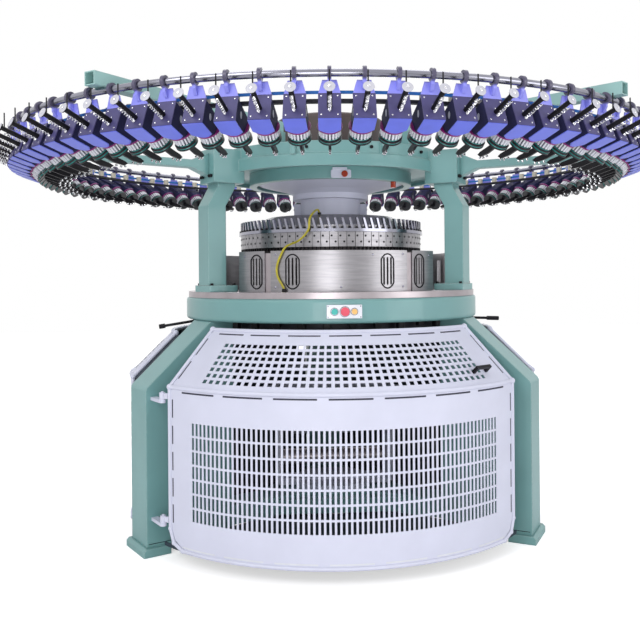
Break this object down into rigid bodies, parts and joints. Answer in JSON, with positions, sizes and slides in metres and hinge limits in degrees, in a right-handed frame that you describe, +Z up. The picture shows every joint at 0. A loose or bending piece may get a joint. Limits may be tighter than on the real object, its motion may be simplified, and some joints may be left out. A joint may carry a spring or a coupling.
{
  "type": "double jersey circular knitting machine",
  "caption": "Large-diameter circular knitting machine: three legs, round bed, needle cylinder and dial, crown, and a ring of yarn feeders, with a hinged slotted guard door.",
  "frame": {"origin": "on the floor at the machine's vertical axis", "axes": "+Z up, front of the machine towards -Y"},
  "size_m": [3.3212, 3.3212, 2.03],
  "materials": {
    "teal_paint": "semi-gloss paint",
    "arm_paint": "semi-gloss paint",
    "white_paint": "powder coat",
    "ground_steel": "ground",
    "stainless": "brushed",
    "dark_steel": "satin",
    "chrome": "polished",
    "drum_steel": "machined",
    "housing_paint": "satin",
    "belt_blue": "matt",
    "pulley_cream": "matt",
    "feeder_case": "moulded",
    "feeder_slate": "moulded",
    "feeder_blue": "moulded",
    "rim_magenta": "moulded",
    "wheel_white": "moulded",
    "clamp_violet": "moulded",
    "black_plastic": "satin",
    "button_green": "moulded",
    "button_red": "moulded",
    "button_yellow": "moulded",
    "lamp_orange": "clear moulded",
    "wire_yellow": "matt",
    "panel_grey": "satin"
  },
  "bodies": {
    "machine": {"leg_left": "teal_paint", "leg_right": "teal_paint", "leg_back": "teal_paint", "foot_pads": "teal_paint", "base_frame": "teal_paint", "bed_plate": "teal_paint", "bed_top_ring": "ground_steel", "gear_case": "dark_steel", "column_left": "teal_paint", "column_right": "teal_paint", "column_back": "teal_paint", "crown": "teal_paint", "crown_ring": "teal_paint", "dial_hub": "white_paint", "dial_housing": "stainless", "cylinder_drum": "drum_steel", "cam_plates": "stainless", "yarn_guides": "chrome", "cylinder_guards": "stainless", "guard_brackets": "ground_steel", "top_housing": "housing_paint", "lower_beams": "teal_paint", "upper_arms": "arm_paint", "tube_ring": "chrome", "mount_ring": "dark_steel", "belt_pulleys": "pulley_cream", "drive_belt": "belt_blue", "feeder_bodies": "feeder_case", "feeder_covers": "feeder_slate", "feeder_shields": "feeder_blue", "feeder_rims": "rim_magenta", "feeder_wheels": "wheel_white", "feeder_clamps": "clamp_violet", "feeder_tensioners": "black_plastic", "feeder_exit_arms": "black_plastic", "control_panel": "panel_grey", "lever_pins": "ground_steel", "hinge_brackets": "white_paint", "rear_stays": "white_paint", "rear_frames": "white_paint", "rear_grilles": "white_paint", "signal_lamps": "lamp_orange", "wire_glands": "black_plastic", "wire_bundle": "wire_yellow"},
    "door": {"door_frame": "white_paint", "door_eyes": "white_paint", "door_lower_grille": "white_paint", "door_upper_grille": "white_paint", "door_handle": "black_plastic"},
    "start_button_body": {"start_button": "button_green"},
    "stop_button_body": {"stop_button": "button_red"},
    "jog_button_body": {"jog_button": "button_yellow"},
    "left_lever": {"lever_left": "black_plastic"},
    "right_lever": {"lever_right": "black_plastic"},
    "take_down": {"take_down_frame": "white_paint", "take_down_rollers": "ground_steel"}
  },
  "joints": [
    {"name": "door_hinge", "type": "hinge", "parent": "machine", "child": "door", "pos_m": [-0.78322, -0.66893, 0.7], "axis": [0, 0, -1], "range_deg": [0, 100]},
    {"name": "take_down_turn", "type": "hinge", "parent": "machine", "child": "take_down", "pos_m": [0, 0, 0.16], "axis": [0, 0, 1], "continuous": true},
    {"name": "left_lever_swing", "type": "hinge", "parent": "machine", "child": "left_lever", "pos_m": [-0.7, 0, 1.002], "axis": [0, 0, 1], "range_deg": [-15, 15]},
    {"name": "right_lever_swing", "type": "hinge", "parent": "machine", "child": "right_lever", "pos_m": [0.7, 0, 1.002], "axis": [0, 0, 1], "range_deg": [-15, 15]},
    {"name": "start_press", "type": "slide", "parent": "machine", "child": "start_button_body", "axis": [0, 1, 0], "range_m": [0, 0.003], "stiffness_N_per_m": 400},
    {"name": "stop_press", "type": "slide", "parent": "machine", "child": "stop_button_body", "axis": [0, 1, 0], "range_m": [0, 0.003], "stiffness_N_per_m": 400},
    {"name": "jog_press", "type": "slide", "parent": "machine", "child": "jog_button_body", "axis": [0, 1, 0], "range_m": [0, 0.003], "stiffness_N_per_m": 400}
  ]
}
